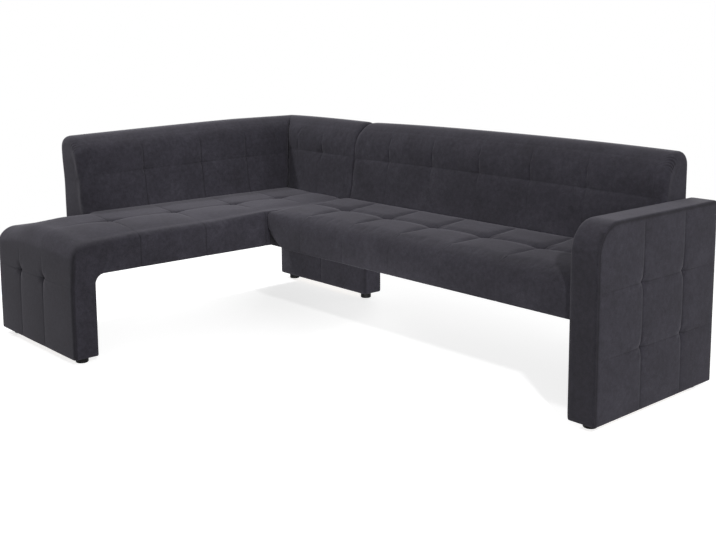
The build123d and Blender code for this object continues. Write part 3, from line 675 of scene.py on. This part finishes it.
# Backs
back_block = 170.0  # depth of the block that a back is cut from
back_front_round = 108.0
back_rear_round = 38.0
back_thick, back_thick_height, back_taper = 168.5, 572.0, 0.1
foot_kick, kick_top, kick_height = 14.0, 590.0, 80.0
corner_room, mitre_gap = 260.0, 0.4
end_rounds = {"joint": (9.0, 30.0), "free": (18.0, 30.0)}  # in plan and in height
# The short back grows thicker towards its free end, flares out there and slopes down to it.
short_thicker, short_flare, short_slope, slope_start = 18.0, 7.0, 26.0, 400.0
fold_pitch, fold_deep, fold_reach = 23.0, 2.0, 30.0


def back_pad(name, node, along_x, start, end, seams, level, start_kind, end_kind, sharp, top_rise):
    """A back that stands on a seat. Its ends are "mitre" in the corner, "joint" beside another back or "free".
    Sharp is how plainly its upright seams show, and top_rise how far its top stands up between the ends."""
    low = back_bed + joint_gap
    free = end_kind == "free"
    pad = Pad(name, [
        places(start, end, 13.0, [start, *seams, end], [(end - 60, end)] if free else ()),
        places(0.0, back_block, 12.0, (), [(back_block - 60, back_block)] if free else ()),
        places(low, back_top, 12.0, [level], [(back_top - 110, back_top)] if free else ()),
    ])
    run, across, height = pad.cut.T.copy()
    points = pad.points
    bend(points, (1, 2), (back_block, back_top), back_front_round)
    bend(points, (1, 2), (0.0, back_top), back_rear_round)
    for place, kind in ((start, start_kind), (end, end_kind)):
        if kind != "mitre":
            side, top = end_rounds[kind]
            narrower = 1 - drawn_in(np.abs(run - place), side) * 2 / back_block
            points[:, 1] = back_block / 2 + (points[:, 1] - back_block / 2) * narrower
            points[:, 2] -= drawn_in(np.abs(run - place), top) * (points[:, 2] - low) / (back_top - low)
    points[:, 2] += top_rise * swell(run, [start, end]) * fade(points[:, 2], low, back_top)
    kick = foot_kick * (np.maximum(0, kick_top - points[:, 2]) / kick_height) ** 2
    thick = back_thick - back_taper * (points[:, 2] - back_thick_height) + np.minimum(kick, foot_kick)
    if not along_x:
        thick = thick + short_thicker * fade(run, 300, end)
    deep = back_rear + base_gap + points[:, 1] / back_block * thick
    if not along_x:
        points[:, 0] += short_flare * fade(run, end - 40, end) * fade(height, back_top - 240, back_top - 40)
        slope = np.clip((points[:, 0] - slope_start) / (end - slope_start), 0, 1)
        points[:, 2] -= short_slope * slope**1.2 * fade(points[:, 2], low, back_top)
    if start_kind == "mitre":
        along = points[:, 0]
        mitred = deep + mitre_gap + along * (corner_room - deep - mitre_gap) / corner_room
        points[:, 0] = np.where(along < corner_room, mitred, along)
    points[:, 1] = deep
    if not along_x:
        pad.points = points[:, [1, 0, 2]].copy()
    front = fade(across, back_block - 40, back_block)
    from_upright = off(run, seams)
    from_level = height - level
    away = np.hypot(from_upright, from_level)
    lower = 1 - fade(height, back_top - 110, back_top - 30)
    amount = (
        2.0 * sharp * swell(run, [start, *seams, end])
        + 3.0 * swell(height, [low, level, back_top])
        + crease(from_upright) * (1.2 * sharp + (0.5 + 2.5 * sharp) * round_tuft(away, 55)) * lower
        + crease(from_level) * (0.3 + (1.6 + 1.4 * sharp) * round_tuft(away, 50))
        + hollow(np.hypot(from_upright / 1.6, from_level), 3.8 + 2.2 * sharp, 16.0)
        + pulls(from_upright, from_level, count=6, deep=0.9, ring=34.0, turn=0.4)
    )
    if start_kind == "mitre":
        amount += crease(run - start, 5.0, 10.0)
    pad.push(front * amount)
    if free:
        # Folds where the front cloth is eased over the top corner beside the end.
        on_front = across > back_block - 1
        over = np.where(on_front, height - (back_top - back_front_round), back_front_round + back_block - across)
        over = np.where(on_front | (height > back_top - 1), over, 0.0)
        folds = np.cos((over + 1.3 * (end - run)) * (2 * math.pi / fold_pitch)) * near(end - run, fold_reach)
        folds *= fade(over, 65, 90) * (1 - fade(over, 150, 190)) * (1.0 if along_x else 0.5)
        pad.push(fold_deep * folds)
        # Painted shade in the troughs of the folds.
        pad.darken(0.6 * np.clip(-folds, 0, 1))
    held = np.maximum.reduce([
        near(from_upright, seam_hold) * lower * sharp,
        near(away, 14),
        near(from_level, seam_hold) * 0.6,
        1 - fade(across, back_block - 60, back_block),
        1 - fade(run, start, start + 30),
        fade(run, end - 60, end - 20),
        fade(height, back_top - 80, back_top),
        1 - fade(height, low, low + 30),
    ])
    pad.fill_out(held, 3.0)
    pad.sew(from_upright, (front > 0.5) * lower * (0.08 + 0.92 * sharp), 0.5)
    pad.sew(from_level, (front > 0.5) * np.clip(0.25 + round_tuft(away, 60), 0, 1) * (0.5 + 0.5 * sharp), 0.4)
    pad.done(0.75, velour, "velour", node)


back_pad(
    "short_back_cushion", "short_back_pad", along_x=False, start=0.0, end=short_back_end + 12,
    seams=short_seams[:3], level=692.0, start_kind="mitre", end_kind="free", sharp=1.0, top_rise=0.0,
)
back_pad(
    "corner_back_cushion", "corner_back_pad", along_x=True, start=0.0, end=wing - joint_gap,
    seams=[440.0], level=712.0, start_kind="mitre", end_kind="joint", sharp=0.2, top_rise=3.0,
)
back_pad(
    "long_back_cushion", "long_back_pad", along_x=True, start=long_start, end=long_stop,
    seams=long_seams, level=707.0, start_kind="joint", end_kind="free", sharp=0.2, top_rise=11.0,
)

# Arm: the outer panel in three by three, with a band round the front, top and rear
arm_uprights = [212.0, 458.0]
arm_levels = [247.0, 472.0]
arm_edge = 8.0
arm_front = arm_depth + 10
arm_inner = arm_inside + joint_gap
arm = Pad("arm_padding", [
    places(arm_inner, bench_width, 11.0, [bench_width - 1]),
    places(0.0, arm_front, 13.0, [*arm_uprights, arm_edge, arm_front - arm_edge]),
    places(cloth_foot, arm_top, 13.0, [*arm_levels, arm_top - arm_edge]),
])
across, deep, height = arm.cut.T.copy()
for place, radius in ((bench_width, 9.0), (arm_inner, 12.0)):
    bend(arm.points, (0, 1), (place, arm_front), radius)
    bend(arm.points, (0, 1), (place, 0.0), radius)
    bend(arm.points, (0, 2), (place, arm_top), radius)
bend(arm.points, (1, 2), (arm_front, arm_top), 108.0)
bend(arm.points, (1, 2), (0.0, arm_top), 14.0)
bend(arm.points, (0, 2), (arm_inner, cloth_foot), 9.0)
bend(arm.points, (1, 2), (arm_front, cloth_foot), 8.0)
outer = fade(across, bench_width - 6, bench_width)
from_upright = off(deep, arm_uprights)
from_row = off(height, arm_levels)
from_edge = np.minimum.reduce([deep, arm_front - deep, arm_top - height]) - arm_edge
away = np.hypot(from_upright, from_row)
inside = fade(from_edge, 0, 30)
amount = (
    2.5 * swell(deep, [0, *arm_uprights, arm_front]) * swell(height, [leg_foot, *arm_levels, arm_top])
    + crease(from_upright) * (0.9 + 3.0 * round_tuft(away, 50)) * inside
    + crease(from_row) * (0.5 + 3.0 * round_tuft(away, 50)) * inside
    + hollow(away, 6.0, 16.0)
    + pulls(from_upright, from_row, count=6, deep=0.9, ring=32.0, turn=0.9)
    + crease(from_edge, 1.8, 3.5)
)
arm.push(outer * amount)
border = np.minimum.reduce([deep, arm_front - deep, across - arm_inside, bench_width - across])
wrap_under(arm.points, height < leg_foot, border)
on_outer = outer > 0.5
on_front = deep > arm_front - 1
arm.sew(from_upright, on_outer, 0.45)
arm.sew(from_row, on_outer * np.clip(0.35 + round_tuft(away, 50), 0, 1), 0.45)
arm.sew(from_edge, on_outer, 0.65, 6.0)
arm.sew(bench_width - across, on_front, 0.45, 16.0)
# Painted shade: the front band is darkened, less so near its top.
arm.darken(0.34 * on_front * (1 - fade(height, arm_top - 130, arm_top - 30)))
arm.done(0.85, velour, "velour", "arm_outer_pad", "arm_inner_pad", "arm_boxing_band")


# Stage: a pale floor, a white surround, soft light and the camera
scene = bpy.context.scene


def seen(tree):
    """1 for what the camera sees, also by way of gloss or glass, and 0 for light on its way from matt things."""
    path = add(tree, "ShaderNodeLightPath").outputs
    most = add(tree, "ShaderNodeMath", {0: path["Is Camera Ray"], 1: path["Is Glossy Ray"]}, operation="MAXIMUM")
    most = add(tree, "ShaderNodeMath", {0: most.outputs[0], 1: path["Is Transmission Ray"]}, operation="MAXIMUM")
    return most.outputs[0]


def pale_floor():
    """A matt white sheet. The camera sees it as white paper with the shadow on it, and it fades into the white
    background; other rays meet a greyer sheet, so that little light comes back up from it."""
    material, tree = blank("pale_studio_floor")
    place = add(tree, "ShaderNodeTexCoord").outputs["Object"]
    grain = add(tree, "ShaderNodeTexNoise", {"Vector": place, "Scale": 1 / 0.4, "Detail": 2.0})
    colour = ramp(tree, grain.outputs["Fac"], (0.3, "#cfcfcf"), (0.7, "#d2d2d2"))
    matt = add(tree, "ShaderNodeBsdfDiffuse", {"Color": colour})
    paper = add(tree, "ShaderNodeEmission", {"Color": (1, 1, 1, 1), "Strength": 0.72})
    lit = add(tree, "ShaderNodeAddShader", {0: matt.outputs[0], 1: paper.outputs[0]})
    sheet = add(tree, "ShaderNodeMixShader", {"Fac": seen(tree), 1: matt.outputs[0], 2: lit.outputs[0]})
    away = add(tree, "ShaderNodeVectorMath", {0: place}, operation="LENGTH")
    far = add(tree, "ShaderNodeMapRange", {"Value": away.outputs["Value"], "From Min": 1.9, "From Max": 3.6})
    clear = add(tree, "ShaderNodeBsdfTransparent")
    ends = add(tree, "ShaderNodeMixShader", {"Fac": far.outputs["Result"], 1: sheet.outputs[0], 2: clear.outputs[0]})
    add(tree, "ShaderNodeOutputMaterial", {"Surface": ends.outputs[0]})
    return material


floor_form = bmesh.new()
bmesh.ops.create_circle(floor_form, cap_ends=True, segments=96, radius=4.0)
floor_mesh = bpy.data.meshes.new("studio_floor")
floor_form.to_mesh(floor_mesh)
floor_form.free()
floor_mesh.materials.append(pale_floor())
floor = bpy.data.objects.new("studio_floor", floor_mesh)
scene.collection.objects.link(floor)

world = bpy.data.worlds.new("studio")
scene.world = world
world.use_nodes = True
sky = world.node_tree
sky.nodes.clear()
brightness = add(sky, "ShaderNodeMapRange", {"Value": seen(sky), "To Min": 0.33, "To Max": 1.0})
glow = add(sky, "ShaderNodeBackground", {"Color": (1, 1, 1, 1), "Strength": brightness.outputs["Result"]})
add(sky, "ShaderNodeOutputWorld", {"Surface": glow.outputs[0]})


def hang(light, place, target, power):
    """Hangs a lamp at a place in metres and aims it at a target."""
    light.energy = power
    lamp = bpy.data.objects.new(light.name, light)
    scene.collection.objects.link(lamp)
    lamp.location = place
    lamp.rotation_euler = (Vector(target) - Vector(place)).to_track_quat("-Z", "Y").to_euler()


def soft_box(name, place, target, size, power):
    light = bpy.data.lights.new(name, "AREA")
    light.shape = "RECTANGLE"
    light.size, light.size_y = size
    hang(light, place, target, power)


def narrow_lamp(name, place, target, degrees, power):
    light = bpy.data.lights.new(name, "SPOT")
    light.spot_size = math.radians(degrees)
    light.spot_blend = 0.9
    light.shadow_soft_size = 0.12
    hang(light, place, target, power)


soft_box("left_top", (-2.2, -0.8, 3.2), (-0.9, -0.1, 0.5), (0.3, 0.3), 56)
soft_box("left_far", (-2.55, -7.4, 4.3), (-0.3, 0.3, 0.5), (0.8, 0.8), 48)
soft_box("right_far", (8.8, -0.6, 3.2), (0.0, 0.2, 0.5), (3.0, 3.0), 245)
soft_box("right_front", (5.2, -2.7, 3.75), (1.0, 0.2, 0.5), (0.25, 0.25), 182)
soft_box("front_low", (3.0, -3.4, 1.0), (-0.2, 0.4, 0.4), (2.0, 1.2), 32)
soft_box("rear_fill", (-3.6, 4.8, 1.3), (-0.4, 0.8, 0.5), (2.4, 1.4), 150)
narrow_lamp("under_seat", (2.9, -1.6, 0.3), (-0.75, 0.72, 0.12), 9, 900)
narrow_lamp("short_back_fill", (3.4, -0.9, 1.3), (-1.07, 0.05, 0.66), 15, 300)

view = bpy.data.cameras.new("photograph_view")
view.sensor_width = 36.0
view.lens = 52.88
view.shift_x = -0.0587
view.shift_y = -0.1201
camera = bpy.data.objects.new("photograph_view", view)
scene.collection.objects.link(camera)
camera.location = (3.195, -2.597, 1.304)
camera.rotation_euler = (math.pi / 2 - 0.1445, 0.0, 0.8166)
scene.camera = camera
scene.view_settings.view_transform = "Standard"
